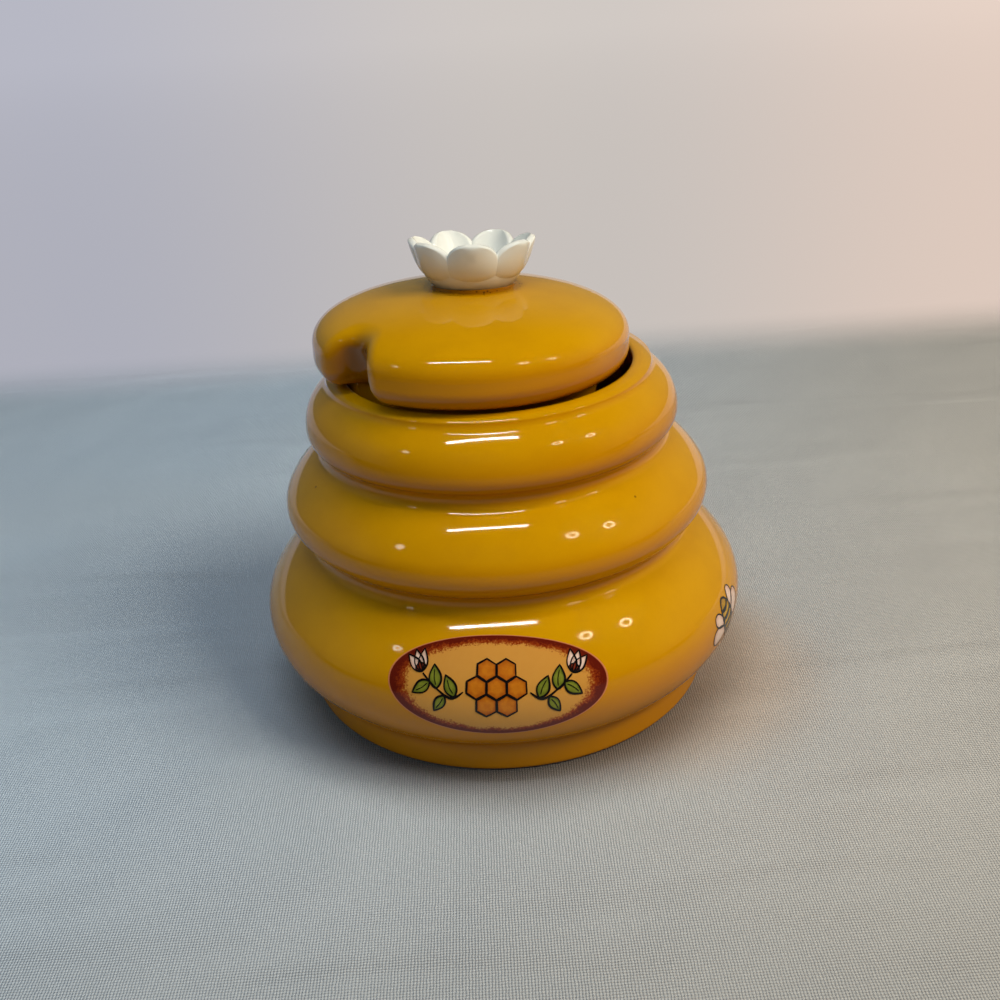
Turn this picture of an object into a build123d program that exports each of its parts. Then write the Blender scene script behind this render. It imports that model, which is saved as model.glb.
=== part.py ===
from build123d import *
from math import asin, atan2, degrees, sqrt
import os

os.makedirs("parts", exist_ok=True)

# Beehive honey pot in slip-cast, glazed ceramic: a body of three stacked coils on a short foot,
# a puffy lift-off lid with a notch for the dipper, and a daisy cup for a knob.
# Millimetres, +Z up, origin at the centre of the foot on the table.

# ---- Body ----
# Each coil is an ellipse in section: (largest radius, height of its centre, half width, half height)
belly_coil = (53.0, 19.1, 16.5, 14.2)
middle_coil = (45.7, 43.2, 14.4, 10.9)
top_coil = (39.4, 61.2, 7.9, 7.3)
coils = (belly_coil, middle_coil, top_coil)
groove_fillet = 1.2  # glaze pooled in the grooves between the coils
wall = 4.2  # slip-cast wall, the same all round
lower_ridge = (36.3, 34.6)  # radius and height of the ridges inside, behind the grooves
upper_ridge = (32.2, 54.2)
hollow_fillet = 2.6

foot_radius = 44.4  # where the foot band meets the table
foot_band_top = 44.9  # the band widens a little towards the belly
foot_ring_width = 4.6  # bare ring that the pot stands on
foot_recess = 2.2  # hollow under the floor
floor_thickness = 4.2

mouth_radius = 29.9
rim_height = 71.0
rim_width = 1.8  # narrow crest of the rim, before its rounding
shoulder_radius = 36.2  # where the slope up to the rim leaves the top coil

# ---- Lid ----
# The lid has slipped a little to the left on the rim, so it leans: right side and back lower
lid_centre = (-3.1, -0.6, 77.05)  # middle of its widest circle
lid_lean = (-1.2, 2.1)  # degrees about X and about Y
lid_radius = 32.4
crown_radius = 170.0  # shallow dome of the top
shoulder_roll = 8.0  # rounded upper edge
lid_side = 2.0  # short upright side below the widest circle
under_roll = 4.0  # rounded lower edge ...
under_turn = 74.0  # ... turning this far, in degrees
flange_radius = 26.0
flange_width = 3.2
flange_depth = 11.5  # below the widest circle
lid_wall = 4.8

# Dipper notch: a round bite that leans outward as the dipper's handle does
notch_azimuth = 221.0
notch_width = 9.4
notch_depth = 6.0
notch_lean = 20.0
notch_roll = 3.9  # the lid's surface rolls over into the notch
flange_gap = 10.0  # the flange is broken below the notch ...
gap_reach = 2.2  # ... and a channel runs this far in behind it
notch_wall = 4.0  # left between the notch and the hollow

# ---- Daisy knob ----
petal_count = 7
knob_shift = (0.8, 2.5)  # luted on by hand, off the middle and leaning back a little
knob_lean = -4.4
knob_base_radius = 8.2
slip_bead = 0.35  # bead of slip round the joint
dish_radius = 10.3  # bowl that the petals grow out of
dish_depth = 3.6
dish_floor = 2.2
dish_floor_radius = 3.6
# Petal stations from root to tip: (radius, height, steepness, half width, bulge radius, thickness)
petal_stations = (
    (6.4, 1.3, 22, 2.9, 9.0, 1.8),
    (8.9, 2.6, 44, 4.5, 8.2, 2.0),
    (10.7, 4.9, 60, 5.1, 6.6, 1.9),
    (11.8, 7.5, 66, 4.5, 5.6, 1.7),
    (12.4, 9.1, 66, 3.0, 5.2, 1.4),
    (12.6, 9.8, 66, 1.3, 5.2, 0.9),
)


# ---- Body: one closed section turned about the axis ----
floor_height = foot_recess + floor_thickness
foot_inside = foot_radius - foot_ring_width
top_coil_centre = top_coil[0] - top_coil[2]
shoulder_height = top_coil[1] + top_coil[3] * sqrt(
    1 - ((shoulder_radius - top_coil_centre) / top_coil[2]) ** 2
)

with BuildPart() as pot_body:
    with BuildSketch(Plane.XZ) as body_section:
        # Outside: the coils around a core that carries the foot band and the rim
        for radius, height, half_width, half_height in coils:
            with Locations((radius - half_width, height)):
                Ellipse(half_width, half_height)
        with BuildLine():
            Polyline(
                (0, 0),
                (foot_radius, 0),
                (foot_band_top, belly_coil[1]),
                lower_ridge,
                upper_ridge,
                (top_coil_centre, top_coil[1]),
                (shoulder_radius, shoulder_height),
                (mouth_radius + rim_width, rim_height),
                (0, rim_height),
                close=True,
            )
        make_face()
        creases = body_section.vertices().filter_by(lambda v: 33 < v.X < 45.3 and 3 < v.Y < 60)
        fillet(creases, groove_fillet)
        shoulder = body_section.vertices().sort_by_distance((shoulder_radius, shoulder_height))[0]
        fillet(shoulder, 4)

        # Inside: the two lower coils drawn in by the wall, and a narrower neck
        for radius, height, half_width, half_height in coils[:2]:
            with Locations((radius - half_width, height)):
                Ellipse(half_width - wall, half_height - wall, mode=Mode.SUBTRACT)
        with BuildLine():
            Polyline(
                (0, floor_height),
                (foot_inside, floor_height),
                (foot_band_top - wall, belly_coil[1]),
                lower_ridge,
                upper_ridge,
                (mouth_radius + 2.5, top_coil[1]),
                (mouth_radius, rim_height - 3),
                (mouth_radius, rim_height),
                (0, rim_height),
                close=True,
            )
        make_face(mode=Mode.SUBTRACT)
        for corner in (
            (foot_inside, floor_height),
            lower_ridge,
            upper_ridge,
            (mouth_radius + 2.5, top_coil[1]),
            (mouth_radius, rim_height - 3),
        ):
            fillet(body_section.vertices().sort_by_distance(corner)[0], hollow_fillet)

        # Underside: the floor is lifted inside a bare foot ring
        with BuildLine():
            Polyline(
                (0, 0),
                (foot_inside, 0),
                (foot_inside - 0.6, foot_recess),
                (0, foot_recess),
                close=True,
            )
        make_face(mode=Mode.SUBTRACT)

        # Rounded edges of the foot and of the rim
        for corner, radius in (
            ((foot_radius, 0), 1.0),
            ((foot_inside, 0), 0.8),
            ((foot_inside - 0.6, foot_recess), 1.2),
            ((mouth_radius + rim_width, rim_height), 2.0),
            ((mouth_radius, rim_height), 1.0),
        ):
            fillet(body_section.vertices().sort_by_distance(corner)[0], radius)
    revolve(axis=Axis.Z)
pot_body.part.label = "pot_body"
export_step(pot_body.part, "parts/pot_body.step")


# ---- Lid: a turned cushion, notched, then hollowed from below ----
lid_plane = Plane(Location(lid_centre, (lid_lean[0], lid_lean[1], 0)))
lid_axis = Axis(lid_plane.origin, lid_plane.z_dir)
shoulder_inset = lid_radius - shoulder_roll
crown_drop = sqrt((crown_radius - shoulder_roll) ** 2 - shoulder_inset**2)
lid_crown = crown_radius - crown_drop  # from the widest circle up to the top
crown_turn = degrees(atan2(shoulder_inset, crown_drop))
underside = -lid_side - under_roll
notch_place = Location((0, 0, 0), (0, 0, notch_azimuth)) * Location(
    (lid_radius - notch_depth + notch_width / 2, 0, 0), (0, notch_lean, 0)
)
gap_end = flange_radius - flange_width - gap_reach
knob_plane = Plane(
    lid_plane.location * Location((knob_shift[0], knob_shift[1], lid_crown), (knob_lean, 0, 0))
)

with BuildPart() as lid:
    with BuildSketch(Plane(lid_plane.location * Plane.XZ.location)):
        with BuildLine():
            CenterArc((0, -crown_drop), crown_radius, 90 - crown_turn, crown_turn)
            CenterArc((shoulder_inset, 0), shoulder_roll, 0, 90 - crown_turn)
            Line((lid_radius, 0), (lid_radius, -lid_side))
            under = CenterArc((lid_radius - under_roll, -lid_side), under_roll, 0, -under_turn)
            Polyline(under @ 1, (flange_radius, underside), (0, underside), (0, lid_crown))
        make_face()
    revolve(axis=lid_axis)

    # The notch goes right through, and the cushion rolls over into it
    with BuildSketch(lid_plane.location * notch_place):
        Circle(notch_width / 2)
    extrude(amount=30, both=True, mode=Mode.SUBTRACT)
    notch_edges = lid.edges(Select.LAST).filter_by(lambda edge: edge.length < 20)
    fillet(notch_edges, notch_roll)

    # Locating flange, broken below the notch
    with BuildSketch(lid_plane.offset(-flange_depth)):
        Circle(flange_radius)
        with PolarLocations(gap_end + 10, 1, start_angle=notch_azimuth):
            SlotOverall(20, flange_gap, mode=Mode.SUBTRACT)
    extrude(amount=flange_depth + underside + 0.5)
    fillet(lid.faces().sort_by(lid_axis)[0].edges(), 0.8)

    # Hollow from below, with a wall left round the notch
    with BuildSketch(lid_plane.offset(-flange_depth)) as hollow_outline:
        Circle(flange_radius - flange_width)
        with PolarLocations(gap_end + flange_gap / 2, 1, start_angle=notch_azimuth):
            Circle(flange_gap / 2 + notch_wall, mode=Mode.SUBTRACT)
        corners = hollow_outline.vertices().sort_by(SortBy.DISTANCE)[-2:]
        fillet(corners, 2)
    extrude(amount=flange_depth + lid_crown - lid_wall, mode=Mode.SUBTRACT)
    ceiling = lid.faces(Select.LAST).sort_by(lid_axis)[-1]
    fillet(ceiling.edges(), hollow_fillet)

    # Flat seat for the knob, with the bead of slip that holds it
    with BuildSketch(knob_plane) as seat:
        Circle(knob_base_radius + slip_bead)
    extrude(amount=-2)
    extrude(seat.sketch, amount=2, mode=Mode.SUBTRACT)
lid.part.label = "lid"
export_step(lid.part, "parts/lid.step")


# ---- Daisy knob: petals lofted through crescent sections, round a small dish ----
with BuildPart() as petal:
    for radius, height, steepness, half_width, bulge, thickness in petal_stations:
        station = Location((radius, 0, height), (0, 90 - steepness, 0)) * Location((0, 0, 0), (0, 0, -90))
        spread = degrees(asin((half_width - thickness / 2) / bulge))
        with BuildSketch(station):
            with BuildLine():
                outer = CenterArc((0, -bulge), bulge + thickness / 2, 90 - spread, 2 * spread)
                inner = CenterArc((0, -bulge), bulge - thickness / 2, 90 - spread, 2 * spread)
                TangentArc(outer @ 0, inner @ 0, tangent=-(outer % 0))
                TangentArc(outer @ 1, inner @ 1, tangent=outer % 1)
            make_face()
    loft()

with BuildPart(knob_plane) as flower_knob:
    with BuildSketch(Plane(knob_plane.location * Plane.XZ.location)):
        with BuildLine():
            dish_side = ThreePointArc(
                (knob_base_radius, 0),
                (dish_radius - 0.8, 0.48 * dish_depth),
                (dish_radius, dish_depth),
            )
            dish_lip = Line(dish_side @ 1, (dish_radius - 2.2, dish_depth + 0.6))
            dish_well = TangentArc((dish_floor_radius, dish_floor), dish_lip @ 1, tangent=(1, 0))
            Polyline(dish_well @ 0, (0, dish_floor), (0, 0), dish_side @ 0)
        make_face()
    revolve(axis=Axis(knob_plane.origin, knob_plane.z_dir))
    with PolarLocations(0, petal_count, start_angle=-90):
        add(petal.part)
flower_knob.part.label = "flower_knob"
export_step(flower_knob.part, "parts/flower_knob.step")
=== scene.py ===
"""Beehive honey pot with a lift-off lid: shapes, glazes, painted decals, cloth floor, lamps and camera."""

import math

import bpy
import numpy as np
from mathutils import Matrix, Vector
from mathutils.bvhtree import BVHTree


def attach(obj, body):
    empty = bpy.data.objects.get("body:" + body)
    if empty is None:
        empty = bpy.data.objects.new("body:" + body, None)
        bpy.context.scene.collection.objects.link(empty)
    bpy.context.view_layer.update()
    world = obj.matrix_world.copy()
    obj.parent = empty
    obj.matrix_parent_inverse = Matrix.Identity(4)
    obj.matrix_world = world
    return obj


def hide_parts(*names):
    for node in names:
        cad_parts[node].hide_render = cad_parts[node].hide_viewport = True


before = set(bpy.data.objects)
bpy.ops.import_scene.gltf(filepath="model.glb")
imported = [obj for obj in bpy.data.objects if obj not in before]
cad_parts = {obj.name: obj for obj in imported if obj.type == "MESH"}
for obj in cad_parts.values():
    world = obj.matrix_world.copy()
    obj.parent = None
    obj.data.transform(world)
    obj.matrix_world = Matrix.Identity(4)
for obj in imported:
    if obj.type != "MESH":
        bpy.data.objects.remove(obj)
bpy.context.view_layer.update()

MM = 0.001

# ---------------------------------------------------------------- the pot's section, in millimetres

foot_radius = 45.2
foot_round = 1.0                     # radius of the foot's lower edge
foot_draft = 0.02                    # widening of the foot band for each millimetre up
lower_belly = (16.15, 14.3)          # half width and half height of the ellipse under the belly's middle
belly_widest = (52.85, 19.3)
groove_ball = 2.5                    # radius of the glaze-filled hollow between two coils
hollow_ball = 2.6                    # the same on the inside, and round the edge of the floor
# The outside from the belly up, as arcs: (turn of the surface's normal at the arc's end in degrees, radius)
coil_arcs = (
    (33.7, 11.9), (57.0, 30.3),
    (-60.0, -2.4), (-22.0, 6.9), (0.0, 5.0), (33.7, 6.6), (58.4, 21.6),
    (-59.6, -2.4), (-22.0, 2.5), (0.0, 4.0), (45.0, 8.9), (58.0, 26.0),
)
rim_line = (
    (31.6, 70.88), (31.2, 70.98), (30.8, 71.0), (30.4, 70.97), (30.1, 70.85), (29.95, 70.6), (29.9, 70.2),
)
hollow_line = ((29.9, 68.0), (32.4, 61.2), (32.2, 54.2), (36.3, 34.6), (40.7, 19.1), (39.8, 6.4))
# Where the coils widen the hollow: radius, height, half width and half height
hollow_rings = ((31.3, 43.2, 10.2, 6.7), (36.5, 19.1, 12.3, 10.0))
hollow_floor = 30.0                  # radius of a ring of points on the flat floor inside
under_line = ((0.0, 2.2), (37.6, 2.2), (38.7, 1.8), (39.4, 0.6), (40.0, 0.1), (40.6, 0.0))
fine_step, rough_step = 0.02, 0.05   # steps of height at which the outside and the inside are worked out
outer_gap, inner_gap = 0.45, 1.2     # distances between the points that are kept
pot_turns = 168
hair = 0.01                          # keeps a formula off the very end of its range

# ---------------------------------------------------------------- the lid, in millimetres and degrees

lid_middle = (-3.1, -0.6, 77.05)     # the middle of the lid's widest circle
lid_lean = (-1.2, 2.1)               # about x and y
lid_radius = 32.4
lid_crown = 9.848                    # height of the lid's top over its widest circle
lid_dome = 170.0                     # the CAD lid's section: a wide arc out to lid_join, then a round edge
lid_join = 25.6
lid_edge = 8.0
lid_edge_least = 0.4                 # that edge's height within a hair of its end
soft_powers = (2.2, 0.42)            # of the softer section that takes its place
soft_start, soft_run = 0.27, 0.15    # shares of the radius: where it starts to take over, and within how much
knob_place = (0.8, 2.5, lid_crown)   # in the lid's own frame, as are its lean about x and its press
knob_lean = -4.4
knob_press = 0.93

# ---------------------------------------------------------------- the decals, in millimetres and degrees

belly_centre = (36.5, 19.1)          # radius and height of the middle of the belly's section
belly_section = 15.4                 # mean radius of that section
middle_centre = (31.3, 43.2)
middle_section = 12.6
ray_start = 30.0                     # how far out from a section's middle a ray toward it starts
ink_lift = 0.035                     # one painted layer above the next
hand_swell, hand_waves = 0.22, 1.3   # how a brush line swells and thins, and how often on its way
label_azimuth = -2.9                 # from the front toward the right
label_rise = 20.5                    # up round the belly's section
label_half = (21.1, 9.8)
label_tilt = -2.5
comb_cell = 2.15                     # from the middle of a honeycomb cell to its corners
comb_gap = 0.96                      # share of that which is painted
sprig_stem = ((6.1, -0.9), (8.4, -2.2), (11.4, -0.6), (14.2, 1.6))
sprig_leaves = (                     # root, direction and length
    ((7.7, -1.9), 62, 4.2), ((9.6, -1.9), -58, 3.6), ((11.2, -0.8), 78, 4.4), ((12.6, 0.3), -38, 4.0),
)
leaf_fullness = 0.27                 # half width for each millimetre of length
leaf_vein = ((0.15, 0.0), (0.45, 0.04), (0.8, 0.0))    # for each millimetre of length
bud_root = (14.4, 1.8)
bud_lean = 62
bud_spread = (-24, 24, 0)
bud_petal = (4.3, 0.95)              # length and half width
bud_cup = (1.9, 1.05)
bee_body = (4.6, 2.5)                # half length and half width
bee_head = (1.7, 1.6)
bee_neck = 5.6
bee_stripes = (-2.9, -1.2, 0.5, 2.2)
stripe_bow = 0.55
bee_wings = (((1.6, 1.9), 112, 6.2), ((-0.4, 2.1), 138, 4.6))    # root, direction and length
bee_feeler = ((6.8, 0.6), (8.4, 1.2), (9.4, 2.6))
pens = {                             # widths of the black lines
    "comb": 0.36, "stem": 0.45, "leaf": 0.34, "vein": 0.2, "bud": 0.3, "cup": 0.24,
    "body": 0.4, "stripe": 0.75, "wing": 0.34, "feeler": 0.3,
}
cells = {                            # distances between the rings of points in a patch
    "ground": 0.8, "comb": 0.55, "leaf": 0.4, "bud": 0.4, "cup": 0.3, "body": 0.5, "head": 0.4, "wing": 0.5,
}

# ---------------------------------------------------------------- colours


def linear(red, green, blue):
    """A display colour, 0 to 255, as the linear colour that a shader takes."""
    channels = [c / 255 for c in (red, green, blue)]
    return tuple(c / 12.92 if c <= 0.04045 else ((c + 0.055) / 1.055) ** 2.4 for c in channels) + (1.0,)


def grey(level):
    """A linear grey."""
    return (level, level, level, 1.0)


honey = linear(202, 148, 0)
honey_light = linear(212, 160, 2)
honey_downfacing_shade = linear(200, 128, 0)
amber = linear(160, 88, 0)
olive_shade = linear(178, 124, 0)
stain_and_shade_brown = linear(112, 62, 0)
stain_speck = linear(62, 30, 8)
iron_speck = linear(86, 48, 6)
bisque_and_warm_shade = linear(214, 196, 168)
milk = linear(238, 242, 240)
milk_cool = linear(214, 222, 222)
smudge_grey = linear(150, 152, 146)
knob_foot_shade_grey = linear(168, 166, 150)
dust_speck = linear(120, 104, 80)

field_tan = linear(206, 148, 66)
field_gold = linear(196, 128, 44)
border_red = linear(96, 24, 10)
border_rust = linear(140, 52, 14)
border_rim = linear(204, 122, 78)
ink_black = linear(20, 16, 14)
leaf_green = linear(86, 98, 26)
leaf_light = linear(128, 134, 44)
petal_white = linear(232, 206, 192)
petal_rose = linear(204, 160, 136)
bud_red = linear(128, 46, 22)
bud_dark = linear(84, 26, 14)
comb_gold = linear(198, 118, 24)
comb_rust = linear(170, 84, 14)
bee_yellow = linear(196, 152, 30)
bee_brown = linear(150, 108, 16)

cloth_painted_cool_light = linear(192, 216, 242)
cloth_painted_warm_light = linear(196, 195, 192)
cloth_gaps = linear(118, 126, 134)
cloth_fold_highlight = linear(214, 216, 216)
cloth_front_shade = linear(150, 154, 156)
cloth_glow = linear(190, 154, 112)
cloth_contact = linear(70, 52, 34)
wall_left = linear(183, 184, 196)
wall_middle = linear(208, 201, 196)
wall_right = linear(232, 211, 198)

room_left = (0.085, 0.12, 0.15, 1.0)
room_right = (0.27, 0.225, 0.17, 1.0)
room_front = (0.075, 0.08, 0.08, 1.0)
mirrored_left = (0.13, 0.15, 0.14, 1.0)
mirrored_right = (0.40, 0.30, 0.14, 1.0)
mirrored_dark = grey(0.02)
floor_dark = grey(0.012)

key_light = (1.0, 0.88, 0.70)
front_light = (0.84, 0.98, 1.0)
strip_light = (0.97, 0.98, 1.0)
ring_warm = (1.0, 0.86, 0.62, 1.0)
ring_pale = (1.0, 0.98, 0.92, 1.0)

# ---------------------------------------------------------------- node materials

glaze_index = 1.52
pot_pools = ((0.0390, 0.0042), (0.0584, 0.0037), (0.0075, 0.0035))    # height and reach, in metres
lid_pools = ((0.0735, 0.0030),)
# Middle, the radii between which each one fades (metres), its share and the share of specks in it
lid_stains_and_shade = (
    # A darker ring with specks round the knob's foot
    ((-0.0019, 0.0021, 0.0868), 0.0088, 0.0112, 0.55, 0.8),
    # Painted shade in the lid's notch
    ((-0.0250, -0.0195, 0.0770), 0.0040, 0.0085, 0.75, 0.0),
)
foot_bare = (0.0003, 0.0006)         # heights between which the glaze ends under the foot, in metres
knob_low = (0.0862, 0.0905)          # heights between which the painted shade at the knob's foot fades out, in metres


class Nodes:
    """A tree of shader nodes, built one call at a time."""

    def __init__(self, tree):
        self.tree = tree

    def node(self, kind, operation=None, **inputs):
        """A new node. Its inputs are named by their sockets, or by i and the socket's number."""
        made = self.tree.nodes.new("ShaderNode" + kind)
        if operation:
            made.operation = operation
        for socket, value in inputs.items():
            key = int(socket[1:]) if socket[1:].isdigit() else socket.replace("_", " ")
            self.feed(value, made.inputs[key])
        return made

    def feed(self, value, socket):
        """Sets a socket to a plain value, or links another node's output to it."""
        if isinstance(value, bpy.types.NodeSocket):
            self.tree.links.new(value, socket)
        else:
            socket.default_value = value

    def math(self, operation, first, second=0.0):
        return self.node("Math", operation, i0=first, i1=second).outputs[0]

    def place(self):
        return self.node("TexCoord").outputs["Object"]

    def parts(self, vector):
        """A vector's x, y and z."""
        return self.node("SeparateXYZ", i0=vector).outputs

    def height(self):
        """Height above the floor, in metres."""
        return self.parts(self.place())[2]

    def facing_up(self):
        """1 where the surface faces straight up, and -1 where it faces straight down."""
        return self.parts(self.node("NewGeometry").outputs["Normal"])[2]

    def distance(self, first, second):
        return self.node("VectorMath", "DISTANCE", i0=first, i1=second).outputs["Value"]

    def reach(self):
        """How far out a point of a painted patch lies: 0 in its middle and 1 on its outline."""
        made = self.node("Attribute")
        made.attribute_name = "reach"
        return made.outputs["Fac"]

    def noise(self, scale, detail=3.0, roughness=0.5, where=None):
        where = where or self.place()
        made = self.node("TexNoise", Vector=where, Scale=scale, Detail=detail, Roughness=roughness)
        return made.outputs["Fac"]

    def band(self, value, low, high):
        """0 below low, 1 above high, and smooth between them."""
        ramp = self.node("MapRange")
        ramp.interpolation_type = "SMOOTHSTEP"
        for socket, number in zip(("Value", "From Min", "From Max"), (value, low, high)):
            self.feed(number, ramp.inputs[socket])
        return ramp.outputs[0]

    def fade(self, value, low, high):
        """1 below low, 0 above high, and smooth between them."""
        return self.math("SUBTRACT", 1.0, self.band(value, low, high))

    def mix(self, share, first, second):
        made = self.tree.nodes.new("ShaderNodeMix")
        made.data_type = "RGBA"
        self.feed(share, made.inputs[0])
        self.feed(first, made.inputs[6])
        self.feed(second, made.inputs[7])
        return made.outputs[2]

    def over(self, shade, mask, share, colour):
        """A shade with a share of another colour over it, where the mask is 1."""
        return self.mix(self.math("MULTIPLY", mask, share), shade, colour)

    def specks(self, scale, size, share):
        """Small round spots, in some of the cells of a Voronoi pattern."""
        cells = self.node("TexVoronoi", Vector=self.place(), Scale=scale)
        spot = self.fade(cells.outputs["Distance"], 0.5 * size, size)
        drawn = self.node("SeparateColor", i0=cells.outputs["Color"]).outputs[0]
        return self.math("MULTIPLY", spot, self.math("LESS_THAN", drawn, share))


class Shader(Nodes):
    """A material made of nodes, with a Principled surface that ends it."""

    def __init__(self, name, **surface):
        self.material = bpy.data.materials.new(name)
        self.material.use_nodes = True
        super().__init__(self.material.node_tree)
        self.surface = self.tree.nodes["Principled BSDF"]
        for socket, value in surface.items():
            self.surface.inputs[socket.replace("_", " ")].default_value = value

    def colour(self, value):
        self.feed(value, self.surface.inputs["Base Color"])

    def roughness(self, value):
        self.feed(value, self.surface.inputs["Roughness"])

    def bump(self, height, distance, strength=1.0):
        made = self.node("Bump", Height=height, Distance=distance, Strength=strength)
        self.feed(made.outputs[0], self.surface.inputs["Normal"])

    def end(self, output):
        """Ends the material with another shader than its Principled surface."""
        self.feed(output, self.tree.nodes["Material Output"].inputs[0])


def glaze_skin(shader, swell=0.00002, dull=0.0):
    """Slow waves and a fine orange peel, in which a reflection of a lamp breaks up a little."""
    slow = shader.noise(70.0, detail=1.0)
    peel = shader.noise(620.0, detail=2.0)
    shader.bump(shader.math("ADD", slow, shader.math("MULTIPLY", peel, 0.05)), swell)
    # The band is so wide that the roughness stays between about 0.04 and 0.07
    shader.roughness(shader.math("ADD", shader.band(shader.noise(240.0, detail=4.0), -0.6, 7.0), dull))


def yellow_glaze(name, pools, stains_and_shade=()):
    """Honey-yellow glaze over a pale body, deeper and duller in its pools, more orange in a painted shade
    where it faces sideways and down, and darker where given: in a ring with specks round the knob's foot, and
    in painted shade in the lid's notch.
    """
    shader = Shader(name, IOR=glaze_index)
    z = shader.height()
    drift = shader.band(shader.noise(26.0, detail=2.0), 0.35, 0.7)
    cloud = shader.band(shader.noise(120.0, detail=5.0, roughness=0.62), 0.35, 0.75)
    shade = shader.over(honey, drift, 0.45, honey_light)
    shade = shader.over(shade, cloud, 0.22, olive_shade)
    facing = shader.facing_up()
    # Painted shade: faces that turn sideways and down are mixed toward a deeper orange, and faces that turn
    # up keep the lighter yellow.
    shade = shader.mix(shader.band(facing, -0.3, 0.9), honey_downfacing_shade, shade)
    dull = 0.0
    for middle, reach in pools:
        away = shader.math("ABSOLUTE", shader.math("SUBTRACT", z, middle))
        pooled = shader.fade(away, 0.1 * reach, reach)
        dull = shader.math("ADD", dull, shader.math("MULTIPLY", pooled, 0.10))
        shade = shader.over(shade, pooled, 0.62, amber)
    # Darker places on the glaze: real ones with specks, and painted shade such as in the lid's notch.
    for middle, inner, outer, share, speckled in stains_and_shade:
        stain_and_shade = shader.fade(shader.distance(shader.place(), middle), inner, outer)
        shade = shader.over(shade, stain_and_shade, share, stain_and_shade_brown)
        dots = shader.math("MULTIPLY", shader.specks(1500.0, size=0.42, share=0.35), speckled)
        shade = shader.over(shade, stain_and_shade, dots, stain_speck)
    shade = shader.over(shade, shader.noise(2600.0, detail=2.0), 0.10, amber)
    shade = shader.over(shade, shader.specks(190.0, size=0.07, share=0.10), 0.75, iron_speck)
    under = shader.fade(facing, -0.98, -0.85)
    shader.colour(shader.over(shade, under, shader.fade(z, *foot_bare), bisque_and_warm_shade))
    glaze_skin(shader, dull=dull)
    return shader.material


def white_glaze(name):
    """Milky glaze with grey smudges and dust specks, a painted warm shade where it faces down, and a painted
    grey shade toward the knob's foot.
    """
    shader = Shader(name, IOR=glaze_index)
    z = shader.height()
    cloud = shader.band(shader.noise(210.0, detail=4.0), 0.3, 0.8)
    shade = shader.over(milk, cloud, 0.20, milk_cool)
    # Painted warm shade: faces that turn down are mixed halfway toward a beige.
    shade = shader.over(shade, shader.fade(shader.facing_up(), -0.45, 0.35), 0.5, bisque_and_warm_shade)
    smudge = shader.band(shader.noise(95.0, detail=3.0, roughness=0.6), 0.52, 0.68)
    shade = shader.over(shade, smudge, 0.22, smudge_grey)
    # Painted shade: the knob greys toward its foot, under its petals.
    shade = shader.over(shade, shader.fade(z, *knob_low), 0.6, knob_foot_shade_grey)
    shade = shader.over(shade, shader.specks(420.0, size=0.10, share=0.06), 0.5, dust_speck)
    shader.colour(shade)
    glaze_skin(shader, swell=0.00005)
    return shader.material


def ink(name, middle, edge=None, mottle=0.0):
    """Painted colour under the glaze: mottled, and with an edge of another colour where one is given."""
    shader = Shader(name, IOR=glaze_index)
    blot = shader.band(shader.noise(900.0, detail=4.0, roughness=0.6), 0.35, 0.7)
    shade = shader.over(middle, blot, mottle, edge or middle)
    if edge:
        worn = shader.math("ADD", shader.reach(), shader.math("MULTIPLY", blot, 0.15))
        shade = shader.mix(shader.band(worn, 0.45, 1.1), shade, edge)
    shader.colour(shade)
    glaze_skin(shader)
    return shader.material


def label_ground(name):
    """The label's tan ground and its sponged border, which is darkest along the outline."""
    shader = Shader(name, IOR=glaze_index)
    reach = shader.reach()
    sponge = shader.noise(2300.0, detail=3.0, roughness=0.7)
    patchy = shader.noise(330.0, detail=2.0)
    worn = shader.math("ADD", shader.math("MULTIPLY", sponge, 0.24), shader.math("MULTIPLY", patchy, 0.10))
    edge = shader.math("ADD", reach, worn)
    tan = shader.over(field_tan, shader.noise(700.0, detail=4.0), 0.3, field_gold)
    shade = shader.mix(shader.band(edge, 0.965, 1.035), tan, border_rust)
    shade = shader.mix(shader.band(edge, 1.03, 1.10), shade, border_red)
    shade = shader.mix(shader.band(reach, 0.982, 0.990), shade, border_rim)
    shader.colour(shade)
    glaze_skin(shader)
    return shader.material


# ---------------------------------------------------------------- pieces


def added(name, data):
    """A new object in the scene."""
    made = bpy.data.objects.new(name, data)
    bpy.context.scene.collection.objects.link(made)
    return made


def smooth(mesh):
    mesh.polygons.foreach_set("use_smooth", [True] * len(mesh.polygons))


def stand_in(name, mesh, node, body):
    """A piece that stands for a CAD node: it goes on the node's body, and the node is hidden."""
    piece = added(name, mesh)
    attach(piece, body)
    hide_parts(node)
    return piece


def dress(piece, material):
    """Gives a piece its glaze."""
    slots = piece.data.materials
    slots.clear()
    slots.append(material)


# ---------------------------------------------------------------- softer shapes for the pot and its lid


def rolled(radii, step, ball):
    """An outline's radii, one for each step of height, once a ball has filled the hollows it can't enter."""
    reach = int(ball / step)
    offsets = np.arange(-reach, reach + 1)
    rise = np.sqrt(np.maximum(ball * ball - (offsets * step) ** 2, 0.0))
    padded = np.pad(radii, reach, constant_values=-1e3)
    swept = np.max([padded[reach + k:reach + k + len(radii)] + r for k, r in zip(offsets, rise)], axis=0)
    padded = np.pad(swept, reach, constant_values=1e3)
    return np.min([padded[reach + k:reach + k + len(radii)] - r for k, r in zip(offsets, rise)], axis=0)


def spaced(points, gap):
    """The same line with points a gap apart."""
    points = np.array(points)
    run = np.concatenate([[0.0], np.cumsum(np.hypot(*np.diff(points, axis=0).T))])
    at = np.linspace(0.0, run[-1], max(2, int(run[-1] / gap)))
    return [tuple(p) for p in np.stack([np.interp(at, run, points[:, i]) for i in (0, 1)], axis=1)]


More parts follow.
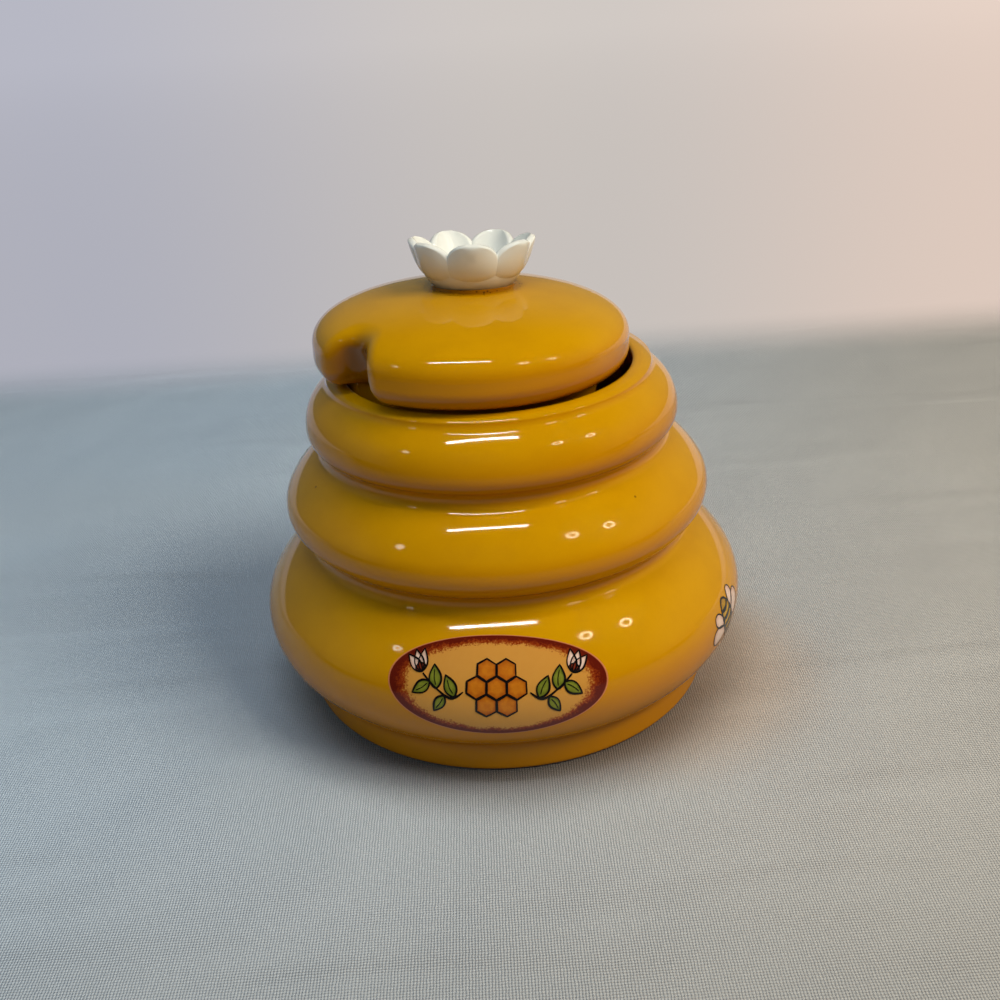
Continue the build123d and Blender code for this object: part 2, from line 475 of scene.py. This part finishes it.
def coil_line(steps=60):
    """The outside from the belly's widest circle to the top coil's shoulder, as (radius, height)."""
    radius, height = belly_widest
    line, turn = [(radius, height)], 0.0
    for end, size in coil_arcs:
        start = math.radians(turn)
        line += [
            (radius + size * (math.cos(a) - math.cos(start)),
             height + size * (math.sin(a) - math.sin(start)))
            for a in np.radians(np.linspace(turn, end, steps))[1:]
        ]
        (radius, height), turn = line[-1], end
    return np.array(line)


def pot_outside(step):
    """The pot's outside from the foot's rounded edge to the top coil's shoulder, as (radius, height)."""
    line = coil_line()
    heights = np.arange(foot_round, line[-1, 1], step)
    upper = np.interp(heights, line[:, 1], line[:, 0])
    widest, middle = belly_widest
    half_width, half_height = lower_belly
    depth = np.clip((heights - middle) / half_height, -1.0, 0.0)
    belly = widest - half_width + half_width * np.sqrt(1 - depth ** 2)
    lower = np.where(heights > middle - half_height + hair, belly, 0.0)
    radii = np.where(heights > middle, upper, np.maximum(lower, foot_radius + foot_draft * heights))
    return list(zip(rolled(radii, step, groove_ball), heights))


def pot_hollow(step):
    """The pot's inside from the neck down to the floor, as (radius, height)."""
    line = np.array(hollow_line[::-1])
    heights = np.arange(line[0, 1], line[-1, 1], step)
    radii = np.interp(heights, line[:, 1], line[:, 0])
    for radius, height, half_width, half_height in hollow_rings:
        away = np.clip((heights - height) / half_height, -1.0, 1.0)
        widened = np.maximum(radii, radius + half_width * np.sqrt(1 - away ** 2))
        radii = np.where(np.abs(away) < 1, widened, radii)
    radii = rolled(radii, step, hollow_ball)
    corner = np.clip(heights[0] + hollow_ball - heights, 0.0, hollow_ball)
    radii = radii - hollow_ball + np.sqrt(hollow_ball ** 2 - corner ** 2)
    return list(zip(radii, heights))[::-1]


def turn_pot():
    """The pot turned about its axis, with the photograph's soft grooves. It stands for the CAD pot."""
    bottom = hollow_line[-1][1]
    line = list(under_line)
    for a in np.radians(np.arange(0, 90, 15)):
        out, up = foot_round * math.sin(a), foot_round * (1 - math.cos(a))
        line.append((foot_radius - foot_round + out, up))
    line += spaced(pot_outside(fine_step), outer_gap) + list(rim_line)
    line += spaced(pot_hollow(rough_step), inner_gap) + [(hollow_floor, bottom), (0.0, bottom)]
    inner, rings = line[1:-1], len(line) - 2
    points = [(0, 0, line[0][1] * MM), (0, 0, line[-1][1] * MM)]
    for i in range(pot_turns):
        a = 2 * math.pi * i / pot_turns
        points += [(r * MM * math.cos(a), r * MM * math.sin(a), z * MM) for r, z in inner]
    faces = []
    for i in range(pot_turns):
        here, there = 2 + i * rings, 2 + (i + 1) % pot_turns * rings
        faces += [(0, there, here), (1, here + rings - 1, there + rings - 1)]
        faces += [(here + k, there + k, there + k + 1, here + k + 1) for k in range(rings - 1)]
    mesh = bpy.data.meshes.new("pot_turned")
    mesh.from_pydata(points, [], faces)
    smooth(mesh)
    return stand_in("pot_turned", mesh, "pot_body", "pot")


def lower_shoulders(spot):
    """A point of the lid, in its own frame in metres, with the top made rounder and its shoulders lower."""
    if spot.z <= 0:
        return spot.copy()
    # Kept below 1, where the softer section has no height
    away = min(math.hypot(spot.x, spot.y) / (lid_radius * MM), 0.9999)
    out = away * lid_radius
    if out <= lid_join:
        was = lid_crown - lid_dome + math.sqrt(lid_dome ** 2 - out ** 2)
    elif out < lid_radius - hair:
        was = math.sqrt(lid_edge ** 2 - (out - lid_radius + lid_edge) ** 2)
    else:
        was = lid_edge_least
    inner_power, outer_power = soft_powers
    now = lid_crown * (1 - away ** inner_power) ** outer_power
    share = min(max((away - soft_start) / soft_run, 0.0), 1.0)
    share = share * share * (3 - 2 * share)
    return Vector((spot.x, spot.y, spot.z * (1 + share * (now / was - 1))))


def press_flower(spot):
    """A point of the knob, in its own frame in metres, pressed a little flatter."""
    return Vector((spot.x, spot.y, spot.z * knob_press if spot.z > 0 else spot.z))


def reshaped(name, node, rest, bend):
    """A copy of a CAD node's shape, bent in the frame rest, that stands for the node on the lid."""
    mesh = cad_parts[node].data.copy()
    mesh.name = name
    back = rest.inverted()
    small = 1e-5
    steps = [Vector(step) for step in ((small, 0, 0), (0, small, 0), (0, 0, small))]
    normals = []
    for i, loop in enumerate(mesh.loops):
        spot = back @ mesh.vertices[loop.vertex_index].co
        normal = back.to_3x3() @ Vector(mesh.corner_normals[i].vector)
        base = bend(spot)
        jacobian = Matrix([(bend(spot + step) - base) / small for step in steps]).transposed()
        normal = rest.to_3x3() @ (jacobian.inverted_safe().transposed() @ normal)
        normals.append(tuple(normal.normalized()))
    for vertex in mesh.vertices:
        vertex.co = rest @ bend(back @ vertex.co)
    mesh.normals_split_custom_set(normals)
    return stand_in(name, mesh, node, "lid")


def tipped(place, lean_x, lean_y):
    """A frame at a place in millimetres, leaning about x and then y, in degrees."""
    return (Matrix.Translation(Vector(place) * MM) @ Matrix.Rotation(math.radians(lean_x), 4, "X")
            @ Matrix.Rotation(math.radians(lean_y), 4, "Y"))


pot = turn_pot()
lid_frame = tipped(lid_middle, *lid_lean)
lid = reshaped("lid_soft", "lid", lid_frame, lower_shoulders)
knob_frame = lid_frame @ tipped(knob_place, knob_lean, 0.0)
knob = reshaped("flower_pressed", "flower_knob", knob_frame, press_flower)


# ---------------------------------------------------------------- flat shapes


def turned(points, angle, shift=(0.0, 0.0), scale=1.0):
    """Flat points turned by an angle in degrees, scaled and shifted."""
    c, s = math.cos(math.radians(angle)), math.sin(math.radians(angle))
    return [(scale * (x * c - y * s) + shift[0], scale * (x * s + y * c) + shift[1]) for x, y in points]


def oval(half_x, half_y, count=48):
    angles = [2 * math.pi * i / count for i in range(count)]
    return [(half_x * math.cos(a), half_y * math.sin(a)) for a in angles]


def leaf(length, width, count=14):
    """A pointed leaf along +x from the origin, with its belly nearer its stem."""
    shares = [i / count for i in range(count + 1)]
    side = [(length * t, width * math.sin(math.pi * t ** 0.8)) for t in shares]
    return side + [(x, -y) for x, y in reversed(side[1:-1])]


def petal(length, width, count=20):
    """A round-ended petal along +x from the origin, fuller toward its end."""
    points = []
    for i in range(count):
        a = math.pi + 2 * math.pi * i / count
        fullness = 1.15 + 0.35 * math.cos(a)
        points.append((0.5 * length * (1 + math.cos(a)), 0.5 * width * math.sin(a) * fullness))
    return points


def hexagon(size, steps=5):
    """A hexagon that stands on a corner, with each side cut into steps."""
    angles = [math.radians(60 * i + 30) for i in range(6)]
    corners = [(size * math.cos(a), size * math.sin(a)) for a in angles]
    points = []
    for (x0, y0), (x1, y1) in zip(corners, corners[1:] + corners[:1]):
        points += [(x0 + (x1 - x0) * k / steps, y0 + (y1 - y0) * k / steps) for k in range(steps)]
    return points


def curve(points, count):
    """A smooth flat path through a few points, as a Catmull-Rom curve with count steps to a span."""
    padded = [points[0]] + list(points) + [points[-1]]
    path = []
    for i in range(1, len(padded) - 2):
        p0, p1, p2, p3 = padded[i - 1:i + 3]
        for k in range(count):
            t = k / count
            path.append(tuple(
                0.5 * (2 * b + (c - a) * t
                       + (2 * a - 5 * b + 4 * c - d) * t * t + (3 * b - a - 3 * c + d) * t ** 3)
                for a, b, c, d in zip(p0, p1, p2, p3)
            ))
    return path + [tuple(points[-1])]


# ---------------------------------------------------------------- painted decals


class Skin:
    """The outside of a piece, for laying thin painted pieces on it."""

    def __init__(self, piece):
        mesh = piece.data
        mesh.calc_loop_triangles()
        self.points = [v.co.copy() for v in mesh.vertices]
        self.corners = [tuple(t.vertices) for t in mesh.loop_triangles]
        normals = [Vector(corner.vector) for corner in mesh.corner_normals]
        self.normals = [[normals[i] for i in t.loops] for t in mesh.loop_triangles]
        self.tree = BVHTree.FromPolygons(self.points, self.corners)

    def hit(self, start, along):
        """Where a ray meets the skin, and the skin's smooth normal there."""
        spot, _, index, _ = self.tree.ray_cast(start, along)
        a, b, c = (self.points[i] for i in self.corners[index])
        area = (b - a).cross(c - a)
        whole = area.length_squared
        share_b = (spot - a).cross(c - a).dot(area) / whole
        share_c = (b - a).cross(spot - a).dot(area) / whole
        na, nb, nc = self.normals[index]
        normal = na * (1 - share_b - share_c) + nb * share_b + nc * share_c
        return spot, normal.normalized()


pot_skin = Skin(pot)


def on_ring(centre, section, azimuth, rise):
    """A map from flat millimetres to a coil's skin, round a place given by azimuth and rise in degrees."""
    radius, height = centre

    def place(u, v, lift):
        turn = math.radians(azimuth) + u / (radius + section * math.cos(math.radians(rise)))
        climb = math.radians(rise) + v / section
        out = Vector((math.sin(turn), -math.cos(turn), 0.0))
        middle = (out * radius + Vector((0, 0, height))) * MM
        along = out * math.cos(climb) + Vector((0, 0, math.sin(climb)))
        spot, normal = pot_skin.hit(middle + along * (ray_start * MM), -along)
        return spot + normal * lift * MM, normal

    return place


class Paint:
    """One painted layer: patches and lines of one ink, gathered into one thin piece on the skin."""

    def __init__(self, place, layer):
        self.place = place
        self.lift = ink_lift * layer
        self.points, self.faces, self.reach, self.normals = [], [], [], []

    def add(self, u, v, reach):
        spot, normal = self.place(u, v, self.lift)
        self.points.append(spot)
        self.normals.append(normal)
        self.reach.append(reach)
        return len(self.points) - 1

    def patch(self, outline, cell):
        """A filled shape, in rings about a cell apart from its middle to its outline."""
        ahead = outline[1:] + outline[:1]
        if sum(u0 * v1 - u1 * v0 for (u0, v0), (u1, v1) in zip(outline, ahead)) < 0:
            outline = outline[::-1]
        cu = sum(p[0] for p in outline) / len(outline)
        cv = sum(p[1] for p in outline) / len(outline)
        far = max(math.hypot(u - cu, v - cv) for u, v in outline)
        rings = max(3, math.ceil(far / cell))
        middle = self.add(cu, cv, 0.0)
        before = None
        for k in range(1, rings + 1):
            t = k / rings
            ring = [self.add(cu + (u - cu) * t, cv + (v - cv) * t, t) for u, v in outline]
            after = ring[1:] + ring[:1]
            if before is None:
                self.faces += [(middle, a, b) for a, b in zip(ring, after)]
            else:
                inner = before[1:] + before[:1]
                self.faces += [(a, b, c, d) for a, b, c, d in zip(before, ring, after, inner)]
            before = ring

    def line(self, path, width, closed=False, taper=0.0):
        """A brush line along a path. It swells and thins a little, and can taper toward its ends."""
        count = len(path)
        left, right = [], []
        for i, (u, v) in enumerate(path):
            back = path[i - 1] if i or closed else path[i]
            ahead = path[(i + 1) % count] if i + 1 < count or closed else path[i]
            du, dv = ahead[0] - back[0], ahead[1] - back[1]
            size = math.hypot(du, dv) or 1.0
            t = i / (count - 1)
            hand = 1 + hand_swell * math.sin(2 * math.pi * (1 if closed else hand_waves) * t + count)
            half = 0.5 * width * hand * (1 - taper + taper * math.sin(math.pi * t) ** 0.5)
            nu, nv = -dv / size * half, du / size * half
            left.append(self.add(u + nu, v + nv, 1.0))
            right.append(self.add(u - nu, v - nv, 1.0))
        pairs = list(zip(left, right))
        ends = pairs[1:] + (pairs[:1] if closed else [])
        self.faces += [(a, b, d, c) for (a, b), (c, d) in zip(pairs, ends)]

    def finish(self, name, material):
        mesh = bpy.data.meshes.new(name)
        mesh.from_pydata(self.points, [], self.faces)
        attribute = mesh.attributes.new("reach", "FLOAT", "POINT")
        attribute.data.foreach_set("value", self.reach)
        first = mesh.polygons[0]
        if first.normal.dot(self.normals[first.vertices[0]]) < 0:
            mesh.flip_normals()
        smooth(mesh)
        mesh.normals_split_custom_set_from_vertices([tuple(n) for n in self.normals])
        mesh.materials.append(material)
        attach(added(name, mesh), "pot")


def outlined(paint, black, shape, part):
    """Paints the shape of a part in one ink, and its outline in black."""
    paint.patch(shape, cells[part])
    black.line(shape, pens[part], closed=True)


def paint_label(inks):
    """An oval label on the belly: a honeycomb between two leafy sprigs that end in buds."""
    place = on_ring(belly_centre, belly_section, label_azimuth, label_rise)
    ground, comb, green, white, red, black = (Paint(place, layer) for layer in (1, 2, 2, 2, 3, 4))

    def tilt(points):
        return turned(points, label_tilt)

    ground.patch(tilt(oval(*label_half, count=120)), cells["ground"])
    step = comb_cell * math.sqrt(3)
    around = [math.radians(a) for a in range(0, 360, 60)]
    for middle in [(0, 0)] + [(step * math.cos(a), step * math.sin(a)) for a in around]:
        outlined(comb, black, tilt(turned(hexagon(comb_cell * comb_gap), 0, middle)), "comb")
    for side in (-1, 1):
        black.line(tilt(curve([(side * x, y) for x, y in sprig_stem], count=12)), pens["stem"], taper=0.5)
        for (x, y), angle, length in sprig_leaves:
            heading = angle if side > 0 else 180 - angle
            root = (side * x, y)
            blade = turned(leaf(length, leaf_fullness * length), heading, root)
            vein = turned([(length * along, length * across) for along, across in leaf_vein], heading, root)
            outlined(green, black, tilt(blade), "leaf")
            black.line(tilt(curve(vein, count=6)), pens["vein"], taper=0.7)
        lean = bud_lean if side > 0 else 180 - bud_lean
        root = (side * bud_root[0], bud_root[1])
        for turn in bud_spread:
            outlined(white, black, tilt(turned(leaf(*bud_petal), lean + turn, root)), "bud")
        outlined(red, black, tilt(turned(leaf(*bud_cup), lean, root)), "cup")
    for name, paint, material in (
        ("label_ground", ground, label_ground("label_ground")),
        ("label_comb", comb, inks["gold"]),
        ("label_leaves", green, inks["green"]),
        ("label_petals", white, inks["white"]),
        ("label_bud_cups", red, inks["red"]),
        ("label_lines", black, inks["black"]),
    ):
        paint.finish(name, material)


def paint_bee(name, place, heading, scale, inks):
    """A plain bee seen from above: a striped oval body, two pairs of wings and two feelers."""
    yellow, white, black = (Paint(place, layer) for layer in (1, 1, 2))

    def sit(points):
        return turned(points, heading, (0, 0), scale)

    outlined(yellow, black, sit(oval(*bee_body)), "body")
    black.patch(sit(turned(oval(*bee_head, count=28), 0, (bee_neck, 0))), cells["head"])
    half_length, half_width = bee_body
    for x in bee_stripes:
        half = half_width * math.sqrt(1 - (x / half_length) ** 2)
        stripe = curve([(x, -half), (x + stripe_bow, 0), (x, half)], count=8)
        black.line(sit(stripe), pens["stripe"] * scale)
    for side in (-1, 1):
        for root, angle, span in bee_wings:
            wing = [(x, side * y) for x, y in turned(petal(span, 0.5 * span), angle, root)]
            outlined(white, black, sit(wing), "wing")
        black.line(sit(curve([(x, side * y) for x, y in bee_feeler], count=8)), pens["feeler"])
    yellow.finish(name + "_body", inks["bee"])
    white.finish(name + "_wings", inks["white"])
    black.finish(name + "_lines", inks["black"])


# ---------------------------------------------------------------- floor and room, in metres

floor_height = -0.0002
floor_radius = 6.0
wall_start = (0.185, 0.245)          # where the cloth turns into the wall, behind the pot
tint_origin = 0.22                   # how far in front of the pot the wall's tints fan out from
touch = (0.043, 0.062)               # radii between which the shade of the contact with the cloth fades
glow_place = (0.030, -0.012, 0.0)    # the middle of the warm light that the glaze throws on the cloth
glow_reach = (0.024, 0.046)
crease_turn = 0.45                   # of the cloth's long creases, in radians
crease_scale = (2.2, 11.0, 1.0)


def disc(name, radius, height, rings=10, turns=64):
    """A flat disc, with rings of points that lie closer together toward its middle."""
    points, faces = [(0, 0, height)], []
    angles = [2 * math.pi * i / turns for i in range(turns)]
    for k in range(1, rings + 1):
        size = radius * (k / rings) ** 3
        points += [(size * math.cos(a), size * math.sin(a), height) for a in angles]
    for i in range(turns):
        j = (i + 1) % turns
        faces.append((0, 1 + i, 1 + j))
        for k in range(rings - 1):
            inner, outer = 1 + k * turns, 1 + (k + 1) * turns
            faces.append((inner + i, outer + i, outer + j, inner + j))
    mesh = bpy.data.meshes.new(name)
    mesh.from_pydata(points, [], faces)
    return mesh


def wall_tint(shader, slope):
    """The wall's colour, from cool at the left to warm at the right. The slope runs toward the right."""
    tint = shader.mix(shader.band(slope, -0.38, 0.08), wall_left, wall_middle)
    return shader.mix(shader.band(slope, 0.08, 0.5), tint, wall_right)


def woven_cloth(shader, where, x, y, out):
    """The cloth itself: its weave, folds and creases, with painted light in its colour (cool at the left,
    warm at the right, lighter on the folds' ridges and darker at the front), and the shade and the warm glow
    by the pot.
    """
    fold = shader.noise(9.0, detail=3.0, roughness=0.45)
    thread = shader.node("TexWave", Vector=where, Scale=600.0, Distortion=2.0, Detail=2.0).outputs["Fac"]
    cross = shader.node("TexWave", Vector=where, Scale=560.0, Distortion=2.0, Detail=2.0)
    cross.bands_direction = "Y"
    weave = shader.math("MULTIPLY", shader.math("ADD", thread, cross.outputs["Fac"]), 0.5)
    # Painted light: the cloth is cooler and bluer at the left and warmer at the right.
    side = shader.band(shader.math("ADD", x, shader.math("MULTIPLY", y, -0.35)), -0.16, 0.16)
    shade = shader.mix(side, cloth_painted_cool_light, cloth_painted_warm_light)
    shade = shader.over(shade, weave, 0.20, cloth_gaps)
    # Painted highlight: the ridges of the folds, which the bump raises, are lighter.
    shade = shader.over(shade, shader.band(fold, 0.35, 0.75), 0.12, cloth_fold_highlight)
    # Painted shade: the cloth darkens toward the front.
    shade = shader.over(shade, shader.band(y, -0.05, -0.13), 0.5, cloth_front_shade)
    glow = shader.fade(shader.distance(where, glow_place), *glow_reach)
    shade = shader.over(shade, glow, 0.4, cloth_glow)
    close = shader.fade(out, *touch)
    front = shader.math("MULTIPLY", shader.band(y, 0.03, -0.05), 0.8)
    shader.colour(shader.over(shade, close, front, cloth_contact))
    shader.roughness(0.9)
    skewed = shader.node("Mapping", Vector=where, Rotation=(0.0, 0.0, crease_turn), Scale=crease_scale)
    crease = shader.band(shader.noise(2.6, detail=2.0, where=skewed.outputs[0]), 0.50, 0.62)
    height = shader.math("ADD", fold, shader.math("MULTIPLY", weave, 0.02))
    height = shader.math("ADD", height, shader.math("MULTIPLY", crease, 0.06))
    shader.bump(height, distance=0.020, strength=0.7)


def cloth():
    """A pale cloth that runs out, past a soft line behind the pot, to the colour of a plain wall.

    The camera and mirroring surfaces see that wall. The cloth in front of the pot is darker where the glaze
    mirrors it, because the glaze in the photograph mirrors a dim room.
    """
    shader = Shader("cloth", Specular_IOR_Level=0.1)
    where = shader.place()
    x, y, _ = shader.parts(where)
    out = shader.node("VectorMath", "LENGTH", i0=where).outputs["Value"]
    woven_cloth(shader, where, x, y, out)
    tint = wall_tint(shader, shader.math("DIVIDE", x, shader.math("ADD", y, tint_origin)))
    tint = shader.mix(shader.band(y, 0.2, 2.5), shader.mix(0.10, tint, grey(0.0)), tint)
    wall = shader.node("Emission", Color=tint).outputs[0]
    rays = shader.node("LightPath").outputs
    seen = shader.math("MAXIMUM", rays["Is Camera Ray"], rays["Is Glossy Ray"])
    share = shader.math("MULTIPLY", shader.band(y, *wall_start), seen)
    whole = shader.node("MixShader", i0=share, i1=shader.surface.outputs[0], i2=wall).outputs[0]
    dark = shader.node("Emission", Color=floor_dark).outputs[0]
    # The dimming is strongest in front of the pot and far from it
    beyond = shader.band(out, 0.07, 0.45)
    dimmed = shader.math("ADD", 0.35, shader.math("MULTIPLY", beyond, 0.55))
    dimmed = shader.math("MULTIPLY", dimmed, shader.band(y, 0.06, -0.10))
    share = shader.math("MULTIPLY", rays["Is Glossy Ray"], dimmed)
    shader.end(shader.node("MixShader", i0=share, i1=whole, i2=dark).outputs[0])
    return shader.material


def lay_floor():
    mesh = disc("floor", floor_radius, floor_height)
    added("floor", mesh)
    mesh.materials.append(cloth())


def room():
    """A plain room: cool at the left, warm at the right, and dark at the front and above in the glaze."""
    world = bpy.data.worlds.new("room")
    bpy.context.scene.world = world
    world.use_nodes = True
    shader = Nodes(world.node_tree)
    x, y, z = shader.parts(shader.node("TexCoord").outputs["Generated"])
    across = shader.band(x, -0.8, 0.8)
    soft = shader.mix(across, room_left, room_right)
    soft = shader.mix(shader.band(y, -0.5, 0.6), room_front, soft)
    sides = shader.mix(across, mirrored_left, mirrored_right)
    aside = shader.math("ADD", shader.math("ABSOLUTE", x), shader.math("MULTIPLY", y, 0.8))
    aside = shader.band(aside, 0.25, 0.95)
    mirrored = shader.over(mirrored_dark, aside, shader.fade(z, 0.35, 0.8), sides)
    rays = shader.node("LightPath").outputs
    light = shader.mix(rays["Is Glossy Ray"], soft, mirrored)
    tint = wall_tint(shader, shader.math("DIVIDE", x, shader.math("MAXIMUM", y, 0.05)))
    background = world.node_tree.nodes["Background"]
    shader.feed(shader.mix(rays["Is Camera Ray"], light, tint), background.inputs["Color"])
    background.inputs["Strength"].default_value = 1.0


# ---------------------------------------------------------------- lamps and camera, in metres and degrees

aim = Vector((0, 0, 0.05))           # the place on the pot that the lamps face
strip_place = Vector((-0.07, -0.27, 0.87))
ring_distance = 0.85
ring_section = 0.16                  # radius of a ring's section for each metre of its own radius
ring_lamps = (                       # name, azimuth, elevation, radius, colour and strength
    ("ring_right", 47, 47, 0.034, ring_warm, 26.0),
    ("ring_far_right", 69, 40, 0.034, ring_warm, 26.0),
    ("ring_left", -60, 38, 0.022, ring_pale, 20.0),
)
view_place = (0, -0.21904, 0.14595)
view_turn = (0.14, 26.20, -3.88)     # toward the right, down, and about the view's own axis
view_lens, view_sensor = 39.6, 36.0  # in millimetres


def toward(azimuth, elevation, distance):
    """A place seen from the pot at that azimuth (from the front toward the right) and elevation."""
    a, e = math.radians(azimuth), math.radians(elevation)
    return aim + Vector((math.sin(a) * math.cos(e), -math.cos(a) * math.cos(e), math.sin(e))) * distance


def area_lamp(name, place, size, energy, colour, glossy=True):
    """A flat lamp that faces the pot, with its long side level and running left to right."""
    lamp = bpy.data.lights.new(name, "AREA")
    lamp.shape = "RECTANGLE"
    lamp.size, lamp.size_y = size
    lamp.energy = energy
    lamp.color = colour
    back = (place - aim).normalized()
    along = (Vector((1, 0, 0)) - back * back.x).normalized()
    turn = Matrix((along, back.cross(along), back)).transposed()
    holder = added(name, lamp)
    holder.matrix_world = Matrix.Translation(place) @ turn.to_4x4()
    holder.visible_glossy = glossy


def ring_lamp(name, place, radius, colour, strength):
    """A small round lamp that shows as a ring in the glaze."""
    bpy.ops.mesh.primitive_torus_add(
        major_radius=radius, minor_radius=ring_section * radius, major_segments=48, minor_segments=10,
        location=place, rotation=(aim - place).to_track_quat("Z", "Y").to_euler(),
    )
    ring = bpy.context.object
    ring.name = name
    ring.visible_camera = False
    ring.visible_shadow = False
    shader = Shader(name)
    shader.end(shader.node("Emission", Color=colour, Strength=strength).outputs[0])
    ring.data.materials.append(shader.material)


def lamps():
    """A warm key at the right and a cool fill in front, and the four lamps that the glaze mirrors."""
    key, front = toward(64, 45, distance=0.9), toward(-14, 40, distance=1.0)
    area_lamp("soft_key", key, size=(0.45, 0.45), energy=5.9, colour=key_light, glossy=False)
    area_lamp("soft_front", front, size=(0.6, 0.5), energy=1.02, colour=front_light, glossy=False)
    area_lamp("strip", strip_place, size=(0.46, 0.03), energy=1.5, colour=strip_light)
    for name, azimuth, elevation, radius, colour, strength in ring_lamps:
        ring_lamp(name, toward(azimuth, elevation, ring_distance), radius, colour, strength)


def camera():
    """The photograph's view: in front, looking 26 degrees down, turned a little about its own axis."""
    yaw, pitch, roll = (math.radians(a) for a in view_turn)
    ahead = Vector((math.sin(yaw) * math.cos(pitch), math.cos(yaw) * math.cos(pitch), -math.sin(pitch)))
    level = Vector((math.cos(yaw), -math.sin(yaw), 0))
    upright = level.cross(ahead)
    right = level * math.cos(roll) + upright * math.sin(roll)
    up = upright * math.cos(roll) - level * math.sin(roll)
    data = bpy.data.cameras.new("camera")
    data.lens = view_lens
    data.sensor_width = view_sensor
    data.clip_start = 0.01
    turn = Matrix((right, up, -ahead)).transposed()
    holder = added("camera", data)
    holder.matrix_world = Matrix.Translation(view_place) @ turn.to_4x4()
    bpy.context.scene.camera = holder


# ---------------------------------------------------------------- the scene

dress(pot, yellow_glaze("pot_glaze", pot_pools))
dress(lid, yellow_glaze("lid_glaze", lid_pools, lid_stains_and_shade))
dress(knob, white_glaze("knob_glaze"))

inks = {
    "gold": ink("ink_gold", comb_gold, comb_rust, mottle=0.4),
    "green": ink("ink_green", leaf_light, leaf_green, mottle=0.5),
    "white": ink("ink_white", petal_white, petal_rose, mottle=0.3),
    "red": ink("ink_red", bud_red, bud_dark, mottle=0.4),
    "black": ink("ink_black", ink_black),
    "bee": ink("ink_bee", bee_yellow, bee_brown, mottle=0.4),
}
paint_label(inks)
right_place = on_ring(belly_centre, belly_section, azimuth=61, rise=4)
left_place = on_ring(middle_centre, middle_section, azimuth=-104, rise=18)
paint_bee("bee_right", right_place, heading=-74, scale=1.0, inks=inks)
paint_bee("bee_left", left_place, heading=120, scale=0.7, inks=inks)

lay_floor()
room()
lamps()
camera()

bpy.context.scene.view_settings.view_transform = "Standard"
